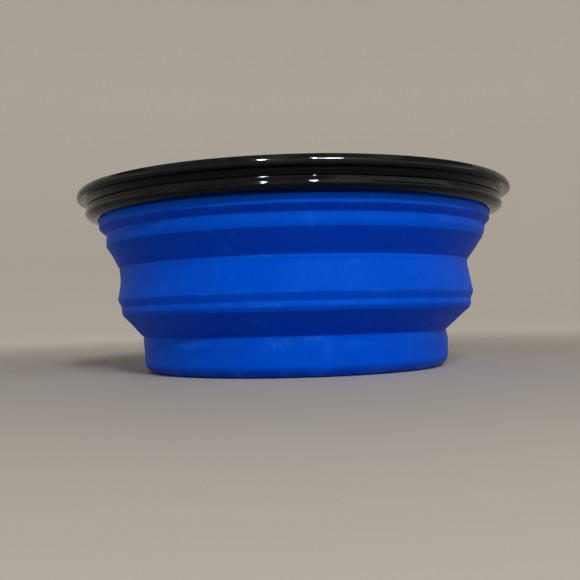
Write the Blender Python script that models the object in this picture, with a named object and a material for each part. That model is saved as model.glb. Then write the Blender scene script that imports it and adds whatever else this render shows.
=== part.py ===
"""Collapsible travel bowl: a silicone body that folds in two stages under a two-piece plastic rim.

The bowl stands on its foot with the origin at the centre of the foot's underside and +Z up.
The silicone is one moulding on the real bowl. It is made here as the five zones that move against each
other, with a short gap at each hinge line, so that each zone is a solid of its own.
Every piece is a turned shape: its section is drawn in the X-Z plane and spun round the Z axis.
Folding moves the middle ring down by FOLD_TRAVEL against the base cup, and the rim down by as much
against the middle ring. The two fold panels turn inside out as their stages fold.
"""

import math

import bmesh
import bpy
from mathutils import Vector

MM = 0.001
SEGMENTS = 64  # round each turned piece
ARC_STEP = math.radians(30)  # along a rounded corner
SHARP_ANGLE = math.radians(25)
MERGE_DISTANCE = 1e-6

# Driving dimensions, in millimetres: the radius and the height of each line that runs round the bowl.
RIM_RADIUS, RIM_TOP_Z = 65.0, 53.5
CLAMP_RADIUS, RIM_UNDERSIDE_Z = 62.6, 45.2
HIGH_HINGE_RADIUS, HIGH_HINGE_Z = 58.8, 42.7  # lower edge of the collar
HIGH_FOLD_RADIUS, HIGH_FOLD_Z = 52.05, 31.0  # top of the middle ring
LOW_HINGE_RADIUS, LOW_HINGE_Z = 53.65, 21.7  # lower edge of the middle ring
LOW_FOLD_RADIUS, LOW_FOLD_Z = 45.4, 10.65  # top of the base cup
FOOT_RADIUS = 45.95
FOLD_TRAVEL = 20.4  # of each stage, from open to folded

# The stiff band of each fold panel: (radius, height) of its lower edge, its bulge and its upper edge.
LOW_BAND = ((52.4, 16.9), (53.0, 18.2), (52.8, 19.5))
HIGH_BAND = ((56.7, 37.4), (57.05, 38.9), (57.0, 40.85))

# Walls and clearances, in millimetres.
GAP = 0.3  # between neighbours
BASE_WALL, FLOOR = 1.9, 2.0
RING_WALL, BAND_WALL = 1.8, 1.7
WEB_WALL = 1.1
HINGE_WALL = 1.3

# Base cup, in millimetres.
FOOT_CORNER, FLOOR_CORNER = 3.4, 2.4  # outer and inner corner radii
LEAN_Z = 8.3  # above this height the wall leans in to the lower fold
RECESS_DEPTH, RECESS_RADIUS, FOOT_RING_INNER_RADIUS = 0.8, 37.6, 38.6

# Middle ring and collar, in millimetres.
FOLD_FLAT = 1.4  # height of the upright band under the upper fold
EDGE_CORNER = 0.3  # radius of the ring's and the collar's lower edges

# Rim, in millimetres. The collar's flange is held between the two rings, inside the top ring's tongue.
FLANGE_RADIUS, FLANGE_BOTTOM_Z, FLANGE_TOP_Z = 60.1, 47.75, 48.95
TONGUE_INNER_RADIUS, TONGUE_RADIUS, TONGUE_BOTTOM_Z = 60.4, 61.3, 46.4
CLAMP_TOP_Z, CLAMP_CORNER = 49.0, 2.1
BEAD_BOTTOM_Z, BEAD_UNDER_CORNER, BEAD_TOP_CORNER = 50.4, 0.8, 2.15
NECK_RADIUS = 62.4  # of the top ring, between its bead and the clamp ring
CROWN_RADIUS = 62.5  # inside this radius the top falls to the inner edge
LIP_DROP, LIP_CORNER = 0.6, 0.6  # that fall, and the inner edge's radius

SILICONE_BLUE = (0.002, 0.075, 0.52, 1.0)
RIM_BLACK = (0.006, 0.006, 0.007, 1.0)


def clear_scene():
    for old in list(bpy.data.objects):
        bpy.data.objects.remove(old, do_unlink=True)


def make_material(name, colour, roughness):
    material = bpy.data.materials.new(name)
    material.use_nodes = True
    shader = material.node_tree.nodes["Principled BSDF"]
    shader.inputs["Base Color"].default_value = colour
    shader.inputs["Roughness"].default_value = roughness
    shader.inputs["Metallic"].default_value = 0.0
    return material


def rounded(before, corner, after, radius):
    """Points of the arc of that radius which rounds a section's corner."""
    corner = Vector(corner)
    to_before = (Vector(before) - corner).normalized()
    to_after = (Vector(after) - corner).normalized()
    half_angle = to_before.angle(to_after) / 2
    reach = radius / math.tan(half_angle)
    centre = corner + (to_before + to_after).normalized() * (radius / math.sin(half_angle))
    first = corner + to_before * reach - centre
    turn = -first.angle_signed(corner + to_after * reach - centre)
    steps = max(1, math.ceil(abs(turn) / ARC_STEP))
    points = []
    for i in range(steps + 1):
        cos, sin = math.cos(turn * i / steps), math.sin(turn * i / steps)
        points.append((centre.x + first.x * cos - first.y * sin, centre.y + first.x * sin + first.y * cos))
    return points


def outline(points):
    """A closed section. Each entry is (radius, height) or (radius, height, corner radius)."""
    section = []
    for i, point in enumerate(points):
        if len(point) == 2:
            section.append(point)
        else:
            after = points[(i + 1) % len(points)]
            section.extend(rounded(points[i - 1][:2], point[:2], after[:2], point[2]))
    return section


def turned(name, points, material):
    """Spins a closed section round Z. A section that starts and ends on the axis is closed by it."""
    bm = bmesh.new()
    ring = [bm.verts.new((r * MM, 0, z * MM)) for r, z in outline(points)]
    edges = []
    for a, b in zip(ring, ring[1:] + ring[:1]):
        if a.co.x > 0 or b.co.x > 0:
            edges.append(bm.edges.new((a, b)))
    bmesh.ops.spin(bm, geom=ring + edges, cent=(0, 0, 0), axis=(0, 0, 1),
                   angle=2 * math.pi, steps=SEGMENTS, use_merge=True)
    bmesh.ops.remove_doubles(bm, verts=bm.verts, dist=MERGE_DISTANCE)
    bmesh.ops.recalc_face_normals(bm, faces=bm.faces)
    mesh = bpy.data.meshes.new(name)
    bm.to_mesh(mesh)
    bm.free()
    mesh.shade_smooth()
    mesh.set_sharp_from_angle(angle=SHARP_ANGLE)
    mesh.materials.append(material)
    obj = bpy.data.objects.new(name, mesh)
    bpy.context.scene.collection.objects.link(obj)
    return obj


def slide(name, travel, parent, pieces):
    """An empty on the bowl's axis that carries what slides down together, with its travel noted on it."""
    empty = bpy.data.objects.new(name, None)
    bpy.context.scene.collection.objects.link(empty)
    empty["travel_mm"] = travel
    empty.parent = parent
    for piece in pieces:
        piece.parent = empty
    return empty


def at_height(low, high, z):
    """The point at height z on the line from low to high."""
    share = (z - low[1]) / (high[1] - low[1])
    return (low[0] + (high[0] - low[0]) * share, z)


def at_radius(low, high, r):
    """The point at radius r on the line from low to high."""
    share = (r - low[0]) / (high[0] - low[0])
    return (r, low[1] + (high[1] - low[1]) * share)


def food_side(low, high):
    """The line from low to high, moved in by the thickness of a web."""
    low, high = Vector(low), Vector(high)
    along = (high - low).normalized()
    shift = Vector((-along.y, along.x)) * WEB_WALL
    return tuple(low + shift), tuple(high + shift)


def base_cup(material):
    """The stiff foot: a flat floor on a foot ring, and the wall up to the lower fold."""
    top = LOW_FOLD_Z - GAP / 2
    wall = FOOT_RADIUS - BASE_WALL
    floor_top = RECESS_DEPTH + FLOOR
    return turned("base_cup", [
        (0, RECESS_DEPTH), (RECESS_RADIUS, RECESS_DEPTH), (FOOT_RING_INNER_RADIUS, 0),
        (FOOT_RADIUS, 0, FOOT_CORNER), (FOOT_RADIUS, LEAN_Z), (LOW_FOLD_RADIUS, top),
        (wall, top), (wall, floor_top, FLOOR_CORNER), (0, floor_top)], material)


def fold_panel(name, fold, band, hinge, material):
    """One fold panel: a thin web from the fold up to a stiff band, and a strip on up to the hinge line.
    The strip is cut half-way, because its upper half belongs to the ring above."""
    low_edge, bulge, high_edge = band
    bottom = fold[1] + GAP / 2
    top = (high_edge[1] + hinge[1]) / 2 - GAP / 2
    strip = at_height(high_edge, hinge, top)
    web = food_side(fold, low_edge)
    band_inner = bulge[0] - BAND_WALL
    return turned(name, [
        at_height(fold, low_edge, bottom), low_edge, bulge, high_edge, strip,
        (strip[0] - HINGE_WALL, top), (band_inner, high_edge[1]),
        at_radius(*web, band_inner), at_height(*web, bottom)], material)


def strip_end(band, hinge):
    """Where the ring above a fold panel starts, half-way up the strip."""
    high_edge = band[2]
    return at_height(high_edge, hinge, (high_edge[1] + hinge[1]) / 2 + GAP / 2)


def middle_ring(material):
    """The stiff ring between the two fold panels. It flares a little towards its lower edge."""
    strip = strip_end(LOW_BAND, (LOW_HINGE_RADIUS, LOW_HINGE_Z))
    top = HIGH_FOLD_Z - GAP / 2
    return turned("middle_ring", [
        strip, (LOW_HINGE_RADIUS, LOW_HINGE_Z, EDGE_CORNER), (HIGH_FOLD_RADIUS, HIGH_FOLD_Z - FOLD_FLAT),
        (HIGH_FOLD_RADIUS, top), (HIGH_FOLD_RADIUS - RING_WALL, top),
        (LOW_HINGE_RADIUS - RING_WALL, LOW_HINGE_Z), (strip[0] - HINGE_WALL, strip[1])], material)


def upper_collar(material):
    """The stiff top of the silicone: the upright collar, and the flange that the rim grips."""
    strip = strip_end(HIGH_BAND, (HIGH_HINGE_RADIUS, HIGH_HINGE_Z))
    inner = HIGH_HINGE_RADIUS - RING_WALL
    return turned("upper_collar", [
        strip, (HIGH_HINGE_RADIUS, HIGH_HINGE_Z, EDGE_CORNER), (HIGH_HINGE_RADIUS, FLANGE_BOTTOM_Z),
        (FLANGE_RADIUS, FLANGE_BOTTOM_Z), (FLANGE_RADIUS, FLANGE_TOP_Z), (inner, FLANGE_TOP_Z),
        (inner, HIGH_HINGE_Z), (strip[0] - HINGE_WALL, strip[1])], material)


def rim_clamp_ring(material):
    """The rim's lower ring: a shelf under the flange, and a groove that takes the top ring's tongue."""
    inner = HIGH_HINGE_RADIUS + GAP
    shelf = FLANGE_BOTTOM_Z - GAP
    groove_inner, groove_outer = TONGUE_INNER_RADIUS - GAP, TONGUE_RADIUS + GAP
    groove_bottom = TONGUE_BOTTOM_Z - GAP
    return turned("rim_clamp_ring", [
        (inner, RIM_UNDERSIDE_Z), (CLAMP_RADIUS, RIM_UNDERSIDE_Z, CLAMP_CORNER), (CLAMP_RADIUS, CLAMP_TOP_Z),
        (groove_outer, CLAMP_TOP_Z), (groove_outer, groove_bottom), (groove_inner, groove_bottom),
        (groove_inner, shelf), (inner, shelf)], material)


def rim_top_ring(material):
    """The rim's upper ring: a round bead over a neck, a lip that falls inwards, and the tongue under it."""
    inner = HIGH_HINGE_RADIUS - RING_WALL
    underside = CLAMP_TOP_Z + GAP
    return turned("rim_top_ring", [
        (NECK_RADIUS, underside), (NECK_RADIUS, BEAD_BOTTOM_Z),
        (RIM_RADIUS, BEAD_BOTTOM_Z, BEAD_UNDER_CORNER), (RIM_RADIUS, RIM_TOP_Z, BEAD_TOP_CORNER),
        (CROWN_RADIUS, RIM_TOP_Z), (inner, RIM_TOP_Z - LIP_DROP, LIP_CORNER), (inner, underside),
        (TONGUE_INNER_RADIUS, underside), (TONGUE_INNER_RADIUS, TONGUE_BOTTOM_Z),
        (TONGUE_RADIUS, TONGUE_BOTTOM_Z), (TONGUE_RADIUS, underside)], material)


def main():
    clear_scene()
    silicone = make_material("silicone", SILICONE_BLUE, 0.5)
    plastic = make_material("rim_plastic", RIM_BLACK, 0.15)

    base_cup(silicone)
    low_panel = fold_panel("lower_fold_panel", (LOW_FOLD_RADIUS, LOW_FOLD_Z), LOW_BAND,
                           (LOW_HINGE_RADIUS, LOW_HINGE_Z), silicone)
    high_panel = fold_panel("upper_fold_panel", (HIGH_FOLD_RADIUS, HIGH_FOLD_Z), HIGH_BAND,
                            (HIGH_HINGE_RADIUS, HIGH_HINGE_Z), silicone)

    slide("lower_fold", FOLD_TRAVEL / 2, None, [low_panel])
    middle = slide("middle", FOLD_TRAVEL, None, [middle_ring(silicone)])
    slide("upper_fold", FOLD_TRAVEL / 2, middle, [high_panel])
    slide("rim", FOLD_TRAVEL, middle,
          [upper_collar(silicone), rim_clamp_ring(plastic), rim_top_ring(plastic)])


main()
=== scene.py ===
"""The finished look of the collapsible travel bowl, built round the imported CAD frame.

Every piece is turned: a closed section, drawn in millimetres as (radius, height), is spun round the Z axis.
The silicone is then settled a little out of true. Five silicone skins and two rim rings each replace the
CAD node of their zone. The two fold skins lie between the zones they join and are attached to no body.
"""
import math
import random

import bmesh
import bpy
from mathutils import Matrix, Vector, noise


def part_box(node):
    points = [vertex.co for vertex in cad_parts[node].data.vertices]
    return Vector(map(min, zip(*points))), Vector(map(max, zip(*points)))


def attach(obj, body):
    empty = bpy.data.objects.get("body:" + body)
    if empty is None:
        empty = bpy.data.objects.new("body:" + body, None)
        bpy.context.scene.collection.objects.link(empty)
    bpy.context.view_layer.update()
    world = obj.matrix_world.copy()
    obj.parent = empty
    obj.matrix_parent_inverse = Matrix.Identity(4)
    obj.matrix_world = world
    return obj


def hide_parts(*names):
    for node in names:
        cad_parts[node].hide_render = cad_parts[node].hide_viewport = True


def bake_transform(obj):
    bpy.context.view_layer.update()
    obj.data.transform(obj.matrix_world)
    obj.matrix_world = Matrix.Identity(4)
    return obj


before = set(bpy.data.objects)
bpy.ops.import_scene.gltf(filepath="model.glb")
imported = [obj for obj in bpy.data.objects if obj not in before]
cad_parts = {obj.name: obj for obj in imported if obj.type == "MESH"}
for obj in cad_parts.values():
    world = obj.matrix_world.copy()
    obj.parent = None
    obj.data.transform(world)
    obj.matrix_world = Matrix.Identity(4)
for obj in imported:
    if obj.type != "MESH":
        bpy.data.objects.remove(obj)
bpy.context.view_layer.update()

MM = 0.001

# Camera, from the photograph's perspective: metres and degrees.
CAMERA_DISTANCE, CAMERA_HEIGHT = 0.2474, 0.01646
CAMERA_TILT_UP, CAMERA_ROLL, CAMERA_PAN = 1.68, -1.51, 0.39
LENS, SENSOR = 49.66, 36.0


# ---- Heights and radii from the frame, in millimetres ----

def low(node):
    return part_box(node)[0].z / MM


def high(node):
    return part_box(node)[1].z / MM


def radius(node):
    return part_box(node)[1].x / MM


RIM_RADIUS, RIM_TOP_Z = radius("rim_top_ring"), high("rim_top_ring")
CLAMP_RADIUS, RIM_UNDERSIDE_Z = radius("rim_clamp_ring"), low("rim_clamp_ring")
RIM_SPLIT_Z = high("rim_clamp_ring") - 0.25  # where the two rings meet outside
FLANGE_TOP_Z, FLANGE_RADIUS = high("upper_collar"), radius("upper_collar")
FOOT_RADIUS = radius("base_cup")
LOW_FOLD_Z = (high("base_cup") + low("lower_fold_panel")) / 2
HIGH_FOLD_Z = (high("middle_ring") + low("upper_fold_panel")) / 2
LOW_SEAM_Z = (high("lower_fold_panel") + low("middle_ring")) / 2
HIGH_SEAM_Z = (high("upper_fold_panel") + low("upper_collar")) / 2

# Lines of the silicone's section that the boxes don't give.
HIGH_HINGE_RADIUS, HIGH_HINGE_Z = 58.8, 42.7
HIGH_FOLD_RADIUS = 52.05
LOW_HINGE_RADIUS, LOW_HINGE_Z = 53.65, 21.7
LOW_FOLD_RADIUS = 45.4
# The stiff band of each fold: (radius, height) of its lower corner, its bulge and its upper edge.
LOW_BAND = ((52.45, 17.0), (53.0, 18.3), (52.85, 19.55))
HIGH_BAND = ((56.7, 37.35), (57.05, 38.9), (57.0, 40.85))
SEAM_DROP = 0.6  # the fold skins start this much below their crease
BAND_WALL, HINGE_WALL = 1.7, 1.3
RECESS_RADIUS, RECESS_DEPTH, FLOOR_Z = 37.5, 0.8, 2.8
FOOT_TOP_Z = 8.3
FLANGE_THICKNESS = 1.2

# Lines of the rim's section.
CLAMP_BEAD_Z = 46.8
NECK_RADIUS = 62.4
TONGUE_INNER, TONGUE_OUTER, TONGUE_BOTTOM_Z = 60.4, 61.3, 46.4
GROOVE_INNER, GROOVE_OUTER, GROOVE_BOTTOM_Z = 60.15, 61.55, 46.15
SHELF_GAP, FLANGE_GAP, RINGS_GAP = 0.15, 0.1, 0.05  # under the flange, over it, and between the rings


def on_strip(edge, hinge, z):
    """The point at height z on the strip from a band's upper edge to the hinge line above."""
    share = (z - edge[1]) / (hinge[1] - edge[1])
    return (edge[0] + (hinge[0] - edge[0]) * share, z)


LOW_SEAM = on_strip(LOW_BAND[2], (LOW_HINGE_RADIUS, LOW_HINGE_Z), LOW_SEAM_Z)
HIGH_SEAM = on_strip(HIGH_BAND[2], (HIGH_HINGE_RADIUS, HIGH_HINGE_Z), HIGH_SEAM_Z)

SEGMENTS = 192  # round the bowl
ARC_STEP = math.radians(12)
SKIN_STEP = 0.7  # longest stretch of a silicone section between two rings
RIM_STEP = 1.2
SHARP_ANGLE = math.radians(40)
MERGE_DISTANCE = 1e-6


# ---- Turned pieces ----

def rounded(before, corner, after, size):
    """Points of the arc of radius size which rounds a section's corner."""
    corner = Vector(corner)
    to_before, to_after = Vector(before) - corner, Vector(after) - corner
    half_angle = to_before.angle(to_after) / 2
    reach = min(size / math.tan(half_angle), 0.48 * min(to_before.length, to_after.length))
    size = reach * math.tan(half_angle)
    to_before.normalize()
    to_after.normalize()
    centre = corner + (to_before + to_after).normalized() * (size / math.sin(half_angle))
    first = corner + to_before * reach - centre
    turn = -first.angle_signed(corner + to_after * reach - centre)
    steps = max(1, math.ceil(abs(turn) / ARC_STEP))
    points = []
    for i in range(steps + 1):
        cos, sin = math.cos(turn * i / steps), math.sin(turn * i / steps)
        points.append((centre.x + first.x * cos - first.y * sin, centre.y + first.x * sin + first.y * cos))
    return points


def arc(centre, size, first, last):
    """Points round a centre from one angle to another, in degrees: 0 is outwards and 90 is up."""
    steps = math.ceil(abs(last - first) / math.degrees(ARC_STEP))
    angles = [math.radians(first + (last - first) * i / steps) for i in range(steps + 1)]
    return [(centre[0] + size * math.cos(a), centre[1] + size * math.sin(a)) for a in angles]


def outline(points, longest):
    """A closed section with its corners rounded and its straight runs cut into short stretches.
    Each entry is (radius, height) or (radius, height, corner radius)."""
    section = []
    for i, point in enumerate(points):
        if len(point) == 2:
            section.append(point)
        else:
            after = points[(i + 1) % len(points)]
            section.extend(rounded(points[i - 1][:2], point[:2], after[:2], point[2]))
    fine = []
    for (r0, z0), (r1, z1) in zip(section, section[1:] + section[:1]):
        on_axis = r0 == 0 and r1 == 0
        cuts = 1 if on_axis else max(1, math.ceil(math.hypot(r1 - r0, z1 - z0) / longest))
        for k in range(cuts):
            fine.append((r0 + (r1 - r0) * k / cuts, z0 + (z1 - z0) * k / cuts))
    return fine


def bump_at(value, centre, spread):
    """A smooth bump: 1 at centre, falling to nothing a few spreads away."""
    return math.exp(-((value - centre) / spread) ** 2)


# Where the soft wall stands out of true: (side, height, spread in height, shift outwards), in millimetres.
# Side -1 is the left of the camera's view and 1 the right.
OUT_OF_TRUE = [(-1, 40.0, 1.9, -0.4), (-1, 31.0, 3.2, 1.0), (-1, 18.3, 2.2, -0.4), (-1, 11.0, 2.6, 0.9),
               (1, 40.4, 1.6, 0.4), (1, 36.8, 1.8, -0.2)]
FOOT_OFFSET = -0.3  # the foot stands this far left of the rim's centre, in millimetres


def settled(co):
    """Moves a point of the silicone a little out of true, as on a used bowl. The rim and the foot hold
    the silicone round, so the shifts fade out there."""
    r = math.hypot(co.x, co.y) / MM
    z = co.z / MM
    if r < 1:
        return co
    across = co.x / MM / r
    shift = 0.0
    for side, height, spread, amount in OUT_OF_TRUE:
        shift += max(0.0, side * across) ** 3 * amount * bump_at(z, height, spread)
    soft = bump_at(z, 25, 14)
    shift += soft * 0.08 * math.sin(2 * math.atan2(co.y, co.x) + 0.6)
    shift += soft * 0.05 * noise.noise(co * 45)
    scale = 1 + shift / r
    lift = 0.04 * soft * noise.noise(co * 30 + Vector((7, 0, 3))) * MM
    lean = FOOT_OFFSET * MM * max(0.0, 1 - z / 38) ** 2
    return Vector((co.x * scale + lean, co.y * scale, co.z + lift))


# Scuffs on the silicone and painted highlights: (azimuth in degrees, height, half-width, half-height,
# strength), with sizes in millimetres. Azimuth 0 faces the camera and positive is to its right. The first
# seven are the photograph's: scuffs at the top of the foot, pale marks on the lower band, and painted
# highlights on the middle ring and along its upper crease. SCATTERED_SCUFFS more, which are guessed, lie on
# the sides and back at the heights in SCUFFED_HEIGHTS.
SCUFFS_AND_HIGHLIGHTS = [(-6.3, 9.2, 2.6, 1.3, 1.0), (5.6, 9.9, 3.0, 0.7, 0.8), (17, 29.2, 5.0, 1.0, 0.45),
          (14, 27.0, 8.0, 3.2, 0.22), (-8, 30.9, 6.5, 0.3, 0.9), (-7, 18.5, 3.5, 0.5, 0.5),
          (8, 18.7, 3.0, 0.5, 0.4)]
SCATTERED_SCUFFS = 16
SCUFFED_HEIGHTS = (9.6, 18.6, 21.9, 28.5, 30.8, 39.2, 42.9)
SCATTER = random.Random(11)
for _ in range(SCATTERED_SCUFFS):
    SCUFFS_AND_HIGHLIGHTS.append((SCATTER.uniform(40, 320), SCATTER.choice(SCUFFED_HEIGHTS),
                   SCATTER.uniform(2, 6), SCATTER.uniform(0.4, 1.3), SCATTER.uniform(0.3, 0.8)))


def scuff_and_highlight_strength(co):
    """How strong the scuffs and the painted highlights are at a point, from 0 to 1."""
    r = math.hypot(co.x, co.y) / MM
    azimuth = math.degrees(math.atan2(co.x, -co.y))
    most = 0.0
    for where, height, half_width, half_height, strength in SCUFFS_AND_HIGHLIGHTS:
        along = ((azimuth - where + 180) % 360 - 180) * math.pi / 180 * r
        most = max(most, strength * bump_at(along, 0, half_width) * bump_at(co.z / MM, height, half_height))
    return most


def turned(name, points, material, longest, soft=False, rubbed=()):
    """Spins a closed section round Z into a closed mesh. rubbed lists the lines where handling wears
    the surface, as (radius, height, width). Wear, scuffs with painted highlights, and the rest position are
    kept as attributes."""
    bm = bmesh.new()
    section = outline(points, longest)
    ring = [bm.verts.new((r * MM, 0, z * MM)) for r, z in section]
    edges = []
    for a, b in zip(ring, ring[1:] + ring[:1]):
        if a.co.x > 0 or b.co.x > 0:
            edges.append(bm.edges.new((a, b)))
    bmesh.ops.spin(bm, geom=ring + edges, cent=(0, 0, 0), axis=(0, 0, 1),
                   angle=2 * math.pi, steps=SEGMENTS, use_merge=True)
    bmesh.ops.remove_doubles(bm, verts=bm.verts, dist=MERGE_DISTANCE)
    bmesh.ops.recalc_face_normals(bm, faces=bm.faces)
    wear = bm.verts.layers.float.new("wear")
    rest = bm.verts.layers.float_vector.new("rest_mm")
    scuff_and_highlight = bm.verts.layers.float.new("scuff_and_highlight")
    for v in bm.verts:
        r, z = math.hypot(v.co.x, v.co.y) / MM, v.co.z / MM
        v[wear] = max([bump_at(math.hypot(r - rr, z - rz), 0, width) for rr, rz, width in rubbed] or [0.0])
        v[rest] = v.co / MM
        if soft:
            v[scuff_and_highlight] = scuff_and_highlight_strength(v.co)
            v.co = settled(v.co)
    mesh = bpy.data.meshes.new(name)
    bm.to_mesh(mesh)
    bm.free()
    mesh.shade_smooth()
    mesh.set_sharp_from_angle(angle=SHARP_ANGLE)
    mesh.materials.append(material)
    obj = bpy.data.objects.new(name, mesh)
    bpy.context.scene.collection.objects.link(obj)
    return obj


# ---- Materials ----

class Nodes:
    """Adds nodes to a material and links them by name."""

    def __init__(self, name):
        self.material = bpy.data.materials.new(name)
        self.material.use_nodes = True
        self.tree = self.material.node_tree
        self.shader = self.tree.nodes["Principled BSDF"]

    def node(self, kind, **inputs):
        made = self.tree.nodes.new(kind)
        for key, value in inputs.items():
            self.put(made, key.replace("_", " "), value)
        return made

    def put(self, node, key, value):
        socket = node.inputs[int(key)] if key.isdigit() else node.inputs[key]
        if isinstance(value, bpy.types.NodeSocket):
            self.tree.links.new(value, socket)
        else:
            socket.default_value = value

    def math(self, operation, a, b=0.0):
        made = self.tree.nodes.new("ShaderNodeMath")
        made.operation = operation
        self.put(made, "0", a)
        self.put(made, "1", b)
        return made.outputs[0]

    def ramp(self, value, start, end, low_value=0.0, high_value=1.0):
        """value mapped so that start gives low_value and end gives high_value, clamped outside."""
        made = self.tree.nodes.new("ShaderNodeMapRange")
        made.interpolation_type = "SMOOTHSTEP"
        self.put(made, "Value", value)
        ends = (("From Min", start), ("From Max", end), ("To Min", low_value), ("To Max", high_value))
        for key, number in ends:
            self.put(made, key, number)
        return made.outputs["Result"]

    def position(self, stretch=(1, 1, 1)):
        """The rest position in millimetres, scaled along each axis."""
        where = self.tree.nodes.new("ShaderNodeAttribute")
        where.attribute_name = "rest_mm"
        made = self.tree.nodes.new("ShaderNodeMapping")
        self.put(made, "Vector", where.outputs["Vector"])
        made.inputs["Scale"].default_value = stretch
        return made.outputs["Vector"]

    def facing_down(self):
        """0 where the surface is upright or faces up, 1 where it faces well down. It places the silicone's
        painted shade.
        """
        normal = self.node("ShaderNodeNewGeometry").outputs["Normal"]
        split = self.node("ShaderNodeSeparateXYZ", Vector=normal)
        return self.ramp(split.outputs["Z"], -0.6, -0.1, 1.0, 0.0)

    def attribute(self, name):
        made = self.tree.nodes.new("ShaderNodeAttribute")
        made.attribute_name = name
        return made.outputs["Fac"]

    def noise(self, scale, detail=3.0, stretch=(1, 1, 1)):
        """Noise whose features are about 1 / scale millimetres across."""
        made = self.node("ShaderNodeTexNoise", Vector=self.position(stretch), Scale=scale, Detail=detail)
        return made.outputs["Fac"]

    def mix(self, factor, a, b):
        made = self.tree.nodes.new("ShaderNodeMix")
        made.data_type = "RGBA"
        self.put(made, "0", factor)
        self.put(made, "6", a)
        self.put(made, "7", b)
        return made.outputs[2]

    def bump(self, height, distance_mm, strength, normal=None):
        made = self.node("ShaderNodeBump", Height=height, Distance=distance_mm * MM, Strength=strength)
        if normal is not None:
            self.put(made, "Normal", normal)
        return made.outputs["Normal"]

    def specks(self, scale, size, amount):
        """Small round specks, such as dust: scale sets how close they lie, size how big they are as a share
        of their spacing, and amount which share of the places has one."""
        cells = self.node("ShaderNodeTexVoronoi", Vector=self.position(), Scale=scale)
        dot = self.ramp(cells.outputs["Distance"], size, size * 0.5)
        pick = self.tree.nodes.new("ShaderNodeSeparateColor")
        self.put(pick, "Color", cells.outputs["Color"])
        chosen = self.math("LESS_THAN", pick.outputs[0], amount)
        return self.math("MULTIPLY", dot, chosen)


SILICONE = (0.0005, 0.089, 0.77, 1)
SILICONE_DEEP = (0.0004, 0.083, 0.73, 1)
SILICONE_PAINTED_SHADE = (0.0003, 0.052, 0.60, 1)  # painted shade: undersides drawn a darker blue, as where they face away from the lamps
# Pale blue of rubbed places, smears and scuffs, also used for the painted highlights.
SILICONE_RUBBED_AND_HIGHLIT = (0.02, 0.19, 0.92, 1)
GLOSS_TINT = (0.12, 0.7, 1.0, 1)  # of the silicone's soft gloss
DUST = (0.32, 0.38, 0.5, 1)


def silicone_material():
    """Matt moulded silicone: faintly mottled, streaked up and down by handling, paler where it is rubbed or
    scuffed and where highlights are painted, a darker blue as painted shade where it faces down, with a
    little dust, since silicone holds on to it."""
    n = Nodes("blue_silicone")
    mottle = n.noise(0.09, 4)
    streaks = n.noise(0.5, 3, stretch=(1, 1, 0.08))
    colour = n.mix(n.ramp(mottle, 0.3, 0.7), SILICONE_DEEP, SILICONE)
    # Painted shade: the silicone is drawn a darker blue where it faces well down.
    colour = n.mix(n.facing_down(), colour, SILICONE_PAINTED_SHADE)
    rub_patches = n.ramp(n.noise(0.16, 4), 0.42, 0.72)
    rubbed = n.math("MULTIPLY", n.attribute("wear"), rub_patches)
    smears = n.math("MULTIPLY", n.ramp(streaks, 0.52, 0.75), n.ramp(mottle, 0.45, 0.62))
    pale = n.math("ADD", n.math("MULTIPLY", rubbed, 0.22), n.math("MULTIPLY", smears, 0.16))
    hair = n.ramp(n.noise(1.3, 4, stretch=(1, 1, 0.35)), 0.38, 0.66)
    # Scuffs, and the painted highlights listed with them, make the silicone paler and smoother here.
    scuff_and_highlight = n.math("MULTIPLY", n.attribute("scuff_and_highlight"), hair)
    pale = n.math("ADD", pale, n.math("MULTIPLY", scuff_and_highlight, 0.75))
    colour = n.mix(pale, colour, SILICONE_RUBBED_AND_HIGHLIT)
    coarse_dust = n.specks(0.55, 0.07, 0.22)
    fine_dust = n.math("MULTIPLY", n.specks(1.6, 0.16, 0.1), rub_patches)
    dust = n.math("MULTIPLY", n.math("ADD", coarse_dust, fine_dust), 0.22)
    colour = n.mix(dust, colour, DUST)
    n.put(n.shader, "Base Color", colour)

    roughness = n.ramp(streaks, 0.3, 0.7, 0.42, 0.52)
    roughness = n.math("ADD", roughness, n.math("MULTIPLY", rubbed, -0.06))
    roughness = n.math("ADD", roughness, n.math("MULTIPLY", n.attribute("scuff_and_highlight"), -0.12))
    roughness = n.math("ADD", roughness, n.math("MULTIPLY", dust, 0.6))
    n.put(n.shader, "Roughness", roughness)
    n.put(n.shader, "IOR", 1.41)
    n.put(n.shader, "Specular IOR Level", 0.09)
    n.put(n.shader, "Specular Tint", GLOSS_TINT)
    n.put(n.shader, "Sheen Weight", 0.02)
    n.put(n.shader, "Sheen Roughness", 0.4)
    n.put(n.shader, "Sheen Tint", GLOSS_TINT)

    grain = n.bump(n.noise(5.0, 2), 0.02, 0.25)
    n.put(n.shader, "Normal", n.bump(n.noise(0.35, 2), 0.05, 0.2, normal=grain))
    return n.material


RIM_BLACK = (0.002, 0.0022, 0.0023, 1)
RIM_GREY = (0.006, 0.006, 0.0062, 1)  # where the rim is rubbed


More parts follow.
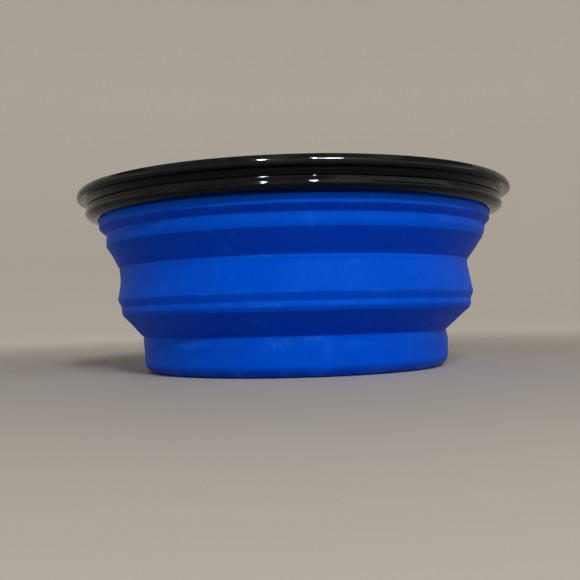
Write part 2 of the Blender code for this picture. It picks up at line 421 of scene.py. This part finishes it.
def rim_material():
    """Glossy black moulded plastic with fine rubbed haze, hairline scratches and a few specks of dust."""
    n = Nodes("black_rim_plastic")
    haze = n.ramp(n.noise(0.12, 4), 0.4, 0.7)
    fine = n.noise(2.2, 3, stretch=(1, 1, 3))
    wear = n.attribute("wear")
    hairlines = n.ramp(n.noise(1.1, 2, stretch=(0.25, 2.4, 2.0)), 0.735, 0.75)
    specks = n.math("MULTIPLY", n.specks(0.5, 0.05, 0.25), 0.5)
    colour = n.mix(n.math("MULTIPLY", wear, haze), RIM_BLACK, RIM_GREY)
    colour = n.mix(n.math("MULTIPLY", specks, 0.35), colour, DUST)
    n.put(n.shader, "Base Color", colour)

    roughness = n.ramp(fine, 0.3, 0.7, 0.02, 0.035)
    roughness = n.math("ADD", roughness, n.math("MULTIPLY", haze, 0.03))
    roughness = n.math("ADD", roughness, n.math("MULTIPLY", wear, 0.03))
    roughness = n.math("ADD", roughness, n.math("MULTIPLY", hairlines, 0.2))
    n.put(n.shader, "Roughness", roughness)
    n.put(n.shader, "IOR", 1.45)
    n.put(n.shader, "Specular IOR Level", 0.2)
    n.put(n.shader, "Specular Tint", (0.82, 0.93, 1.0, 1))

    flow = n.bump(n.noise(0.22, 2), 0.03, 0.12)
    n.put(n.shader, "Normal", n.bump(hairlines, 0.01, -0.3, normal=flow))
    return n.material


FLOOR_COLOUR = (0.56, 0.52, 0.46, 1)
BACKDROP_GLOW = 0.36
GLOW_START, GLOW_FULL = 80, 420  # millimetres from the bowl's centre


def floor_material():
    """Plain pale matt floor. Far from the bowl it glows a little, as a lit backdrop does."""
    n = Nodes("pale_floor")
    n.put(n.shader, "Base Color", FLOOR_COLOUR)
    n.put(n.shader, "Roughness", 0.75)
    n.put(n.shader, "Specular IOR Level", 0.25)
    distance = n.tree.nodes.new("ShaderNodeVectorMath")
    distance.operation = "LENGTH"
    n.put(distance, "0", n.position())
    n.put(n.shader, "Emission Color", FLOOR_COLOUR)
    glow = n.ramp(distance.outputs["Value"], GLOW_START, GLOW_FULL, 0.0, BACKDROP_GLOW)
    n.put(n.shader, "Emission Strength", glow)
    return n.material


# ---- The pieces ----

def base_skin(material):
    """The foot and floor, up to just under the lower fold's crease."""
    top = LOW_FOLD_Z - SEAM_DROP
    inner = 43.95
    return turned("base_cup_skin", [
        (0, RECESS_DEPTH), (RECESS_RADIUS, RECESS_DEPTH, 0.5), (RECESS_RADIUS + 1, 0, 0.4),
        (FOOT_RADIUS, 0, 3.7), (FOOT_RADIUS, FOOT_TOP_Z, 1.6), (LOW_FOLD_RADIUS + 0.12, top),
        (inner + 0.3, top), (inner, 7.5, 4.0), (inner, FLOOR_Z, 2.6), (0, FLOOR_Z)],
        material, SKIN_STEP, soft=True,
        rubbed=[(FOOT_RADIUS - 1, 1, 1.6), (FOOT_RADIUS - 0.2, LOW_FOLD_Z - 1.8, 1.3)])


def fold_skin(name, fold, band, seam, material):
    """The web and band of one fold, thinner at the two lines where it bends. band is the lower corner,
    the bulge and the upper edge of the stiff band."""
    (fold_r, fold_z), (corner, bulge, edge), (seam_r, seam_z) = fold, band, seam
    bottom = fold_z - SEAM_DROP
    inner = bulge[0] - BAND_WALL
    return turned(name, [
        (fold_r + 0.1, bottom), (fold_r, fold_z, 0.22), (*corner, 0.75), (*bulge, 1.5), (*edge, 0.3),
        (seam_r, seam_z), (seam_r - HINGE_WALL, seam_z), (inner + 0.1, edge[1], 0.8),
        (inner, corner[1] + 0.6, 1.0), (fold_r - 1.0, fold_z + 0.75, 0.9), (fold_r - 1.2, bottom)],
        material, SKIN_STEP, soft=True, rubbed=[(bulge[0], bulge[1] + 0.8, 0.8)])


def middle_skin(material):
    """The ring between the folds, with its short upright band under the upper crease."""
    top = HIGH_FOLD_Z - SEAM_DROP
    seam_r = LOW_SEAM[0]
    return turned("middle_ring_skin", [
        LOW_SEAM, (LOW_HINGE_RADIUS, LOW_HINGE_Z, 0.25), (HIGH_FOLD_RADIUS + 0.1, HIGH_FOLD_Z - 1.5, 0.8),
        (HIGH_FOLD_RADIUS + 0.1, top), (HIGH_FOLD_RADIUS - 1.2, top), (50.45, HIGH_FOLD_Z - 2.2, 1.5),
        (LOW_HINGE_RADIUS - 1.85, LOW_HINGE_Z, 0.8), (seam_r - HINGE_WALL, LOW_SEAM_Z)],
        material, SKIN_STEP, soft=True, rubbed=[(LOW_HINGE_RADIUS, LOW_HINGE_Z, 0.7)])


def collar_skin(material):
    """The upright collar, and the flange that the two rim rings hold."""
    inner = HIGH_HINGE_RADIUS - 1.7
    shelf = FLANGE_TOP_Z - FLANGE_THICKNESS
    return turned("collar_skin", [
        HIGH_SEAM, (HIGH_HINGE_RADIUS, HIGH_HINGE_Z, 0.25), (HIGH_HINGE_RADIUS, shelf, 0.3),
        (FLANGE_RADIUS, shelf, 0.2), (FLANGE_RADIUS, FLANGE_TOP_Z, 0.2), (inner, FLANGE_TOP_Z, 0.2),
        (inner, HIGH_HINGE_Z + 0.3, 0.8), (HIGH_SEAM[0] - HINGE_WALL, HIGH_SEAM_Z)],
        material, SKIN_STEP, soft=True, rubbed=[(HIGH_HINGE_RADIUS, HIGH_HINGE_Z, 0.8)])


def clamp_shell(material):
    """The rim's lower ring: a fine bead near its lower edge, a shelf for the flange and a groove for the
    upper ring's tongue."""
    inner = HIGH_HINGE_RADIUS + 0.12
    shelf = FLANGE_TOP_Z - FLANGE_THICKNESS - SHELF_GAP
    bead_z, top = CLAMP_BEAD_Z, RIM_SPLIT_Z
    return turned("rim_clamp_shell", [
        (inner, RIM_UNDERSIDE_Z - 0.3, 0.3), (60.6, RIM_UNDERSIDE_Z - 0.1, 3.0), (62.0, bead_z - 1, 2.0),
        (CLAMP_RADIUS, bead_z - 0.2, 0.5), (CLAMP_RADIUS, bead_z + 0.15, 0.35),
        (CLAMP_RADIUS - 0.17, bead_z + 0.55, 0.3), (CLAMP_RADIUS - 0.1, top, 0.9), (61.5, top, 0.1),
        (GROOVE_OUTER, GROOVE_BOTTOM_Z), (GROOVE_INNER, GROOVE_BOTTOM_Z), (GROOVE_INNER, shelf),
        (inner, shelf, 0.15)], material, RIM_STEP,
        rubbed=[(CLAMP_RADIUS, top, 0.5), (CLAMP_RADIUS, bead_z, 0.7)])


def top_shell(material):
    """The rim's upper ring: a round bead over a short neck, a lip that falls to the inner edge, and the
    tongue under it."""
    inner = HIGH_HINGE_RADIUS - 1.75
    underside, over_flange = RIM_SPLIT_Z + RINGS_GAP, FLANGE_TOP_Z + FLANGE_GAP
    bead, bead_bottom, under_corner = 2.15, RIM_TOP_Z - 2.95, 0.8
    lip = RIM_TOP_Z - 0.6
    return turned("rim_top_shell", [
        (TONGUE_INNER, over_flange), (TONGUE_INNER, TONGUE_BOTTOM_Z, 0.15),
        (TONGUE_OUTER, TONGUE_BOTTOM_Z, 0.15), (TONGUE_OUTER, underside),
        (NECK_RADIUS, underside, 0.1), (NECK_RADIUS, bead_bottom, 0.7),
        *arc((RIM_RADIUS - under_corner, bead_bottom + under_corner), under_corner, -90, 0),
        *arc((RIM_RADIUS - bead, RIM_TOP_Z - bead), bead, 0, 90),
        (inner, lip, 0.9), (inner, over_flange, 0.25)], material, RIM_STEP,
        rubbed=[(RIM_RADIUS - 0.6, RIM_TOP_Z - 0.7, 1.2), (inner, lip, 0.8)])


def set_up_piece(piece, node, body):
    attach(piece, body)
    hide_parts(node)


def set_up_fold(piece, node):
    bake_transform(piece)
    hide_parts(node)


def build_bowl():
    """Builds every piece and returns the silicone's, then the rim's two with the upper one first."""
    silicone, plastic = silicone_material(), rim_material()
    base, middle, collar = base_skin(silicone), middle_skin(silicone), collar_skin(silicone)
    low_fold = fold_skin("lower_fold_skin", (LOW_FOLD_RADIUS, LOW_FOLD_Z), LOW_BAND, LOW_SEAM, silicone)
    high_fold = fold_skin("upper_fold_skin", (HIGH_FOLD_RADIUS, HIGH_FOLD_Z), HIGH_BAND, HIGH_SEAM, silicone)
    lower, upper = clamp_shell(plastic), top_shell(plastic)
    set_up_piece(base, "base_cup", "base")
    set_up_fold(low_fold, "lower_fold_panel")
    set_up_piece(middle, "middle_ring", "middle")
    set_up_fold(high_fold, "upper_fold_panel")
    set_up_piece(collar, "upper_collar", "rim")
    set_up_piece(lower, "rim_clamp_ring", "rim")
    set_up_piece(upper, "rim_top_ring", "rim")
    return [base, low_fold, middle, high_fold, collar], [upper, lower]


# ---- Studio ----

# The floor, in millimetres: radius of the flat part, radius of the curve, and height of the wall above it.
FLOOR_FLAT, FLOOR_CURVE, FLOOR_WALL = 650, 350, 350
FLOOR_SEGMENTS = 96
LAMP_DISTANCE, LAMP_TARGET = 0.75, Vector((0, 0, 0.03))
WORLD_COLOUR, WORLD_STRENGTH = (0.9, 0.95, 1.0, 1), 0.01


def studio_floor():
    """A round floor that curves up into a low wall all round, so that it looks the same from every side."""
    section = [(0, 0)]
    for degrees in range(0, 91, 6):
        a = math.radians(degrees)
        section.append((FLOOR_FLAT + FLOOR_CURVE * math.sin(a), FLOOR_CURVE - FLOOR_CURVE * math.cos(a)))
    section.append((FLOOR_FLAT + FLOOR_CURVE, FLOOR_CURVE + FLOOR_WALL))
    bm = bmesh.new()
    verts = [bm.verts.new((r * MM, 0, z * MM)) for r, z in section]
    edges = [bm.edges.new(pair) for pair in zip(verts, verts[1:])]
    bmesh.ops.spin(bm, geom=verts + edges, cent=(0, 0, 0), axis=(0, 0, 1),
                   angle=2 * math.pi, steps=FLOOR_SEGMENTS, use_merge=True)
    bmesh.ops.remove_doubles(bm, verts=bm.verts, dist=MERGE_DISTANCE)
    rest = bm.verts.layers.float_vector.new("rest_mm")
    for v in bm.verts:
        v[rest] = v.co / MM
    mesh = bpy.data.meshes.new("studio_floor")
    bm.to_mesh(mesh)
    bm.free()
    mesh.shade_smooth()
    mesh.materials.append(floor_material())
    floor = bpy.data.objects.new("studio_floor", mesh)
    bpy.context.scene.collection.objects.link(floor)
    return floor


def area_light(name, azimuth, elevation, width, height, watts, receivers=None):
    """An oval lamp aimed at the bowl. Azimuth 0 is the camera's side, and positive is to its right. With a
    list of receivers it lights only those objects."""
    data = bpy.data.lights.new(name, "AREA")
    data.shape = "ELLIPSE"
    data.size, data.size_y = width, height
    data.energy = watts
    a, e = math.radians(azimuth), math.radians(elevation)
    lamp = bpy.data.objects.new(name, data)
    place = Vector((math.sin(a) * math.cos(e), -math.cos(a) * math.cos(e), math.sin(e))) * LAMP_DISTANCE
    lamp.location = LAMP_TARGET + place
    lamp.rotation_euler = place.to_track_quat("Z", "Y").to_euler()
    lamp.visible_camera = False
    bpy.context.scene.collection.objects.link(lamp)
    if receivers:
        lit = bpy.data.collections.new(name + "_pieces")
        for receiver in receivers:
            lit.objects.link(receiver)
        lamp.light_linking.receiver_collection = lit


def lights(silicone, rim, floor):
    """Soft studio lamps, with the key kept off the rim, and lamps for the rim alone that give it its
    highlights. rim is the upper ring, then the lower."""
    area_light("key", 12, 34, 0.14, 0.02, 1.75, [*silicone, floor])
    area_light("key_high", 13, 48, 0.05, 0.03, 0.6)
    area_light("key_left", -16, 36, 0.03, 0.012, 0.08)
    area_light("fill", 32, 42, 0.30, 0.30, 0.35)
    area_light("front", 20, 20, 0.90, 0.13, 0.22)
    for azimuth, watts in ((64, 0.12), (89, 0.12), (-79, 0.06)):
        area_light("side", azimuth, 18, 0.34, 0.11, watts)
    area_light("back_fill", 195, 35, 0.40, 0.40, 0.30)
    area_light("inside", 0, 90, 0.40, 0.40, 0.28, silicone)
    area_light("ring_panel", 52, 7, 1.20, 0.16, 0.42, rim[1:])
    area_light("rim_panel", 16, 34, 0.80, 0.15, 0.32, rim)
    area_light("rim_glint", 12, 40, 0.025, 0.03, 3.0, rim)
    area_light("rim_glint_left", -16, 40, 0.04, 0.04, 9.0, rim)
    area_light("bead_glint", 21, 40, 0.14, 0.02, 7.0, rim[:1])
    world = bpy.data.worlds.new("studio")
    world.use_nodes = True
    background = world.node_tree.nodes["Background"]
    background.inputs["Color"].default_value = WORLD_COLOUR
    background.inputs["Strength"].default_value = WORLD_STRENGTH
    bpy.context.scene.world = world


def camera():
    data = bpy.data.cameras.new("camera")
    data.lens, data.sensor_width = LENS, SENSOR
    data.clip_start = 0.005
    cam = bpy.data.objects.new("camera", data)
    turn = Matrix.Rotation(math.radians(CAMERA_PAN), 4, "Z")
    tilt = Matrix.Rotation(math.radians(90 + CAMERA_TILT_UP), 4, "X")
    roll = Matrix.Rotation(math.radians(CAMERA_ROLL), 4, "Z")
    cam.matrix_world = Matrix.Translation((0, -CAMERA_DISTANCE, CAMERA_HEIGHT)) @ turn @ tilt @ roll
    bpy.context.scene.collection.objects.link(cam)
    bpy.context.scene.camera = cam


camera()
silicone_skins, rim_shells = build_bowl()
floor = studio_floor()
lights(silicone_skins, rim_shells, floor)
bpy.context.scene.view_settings.view_transform = "Standard"
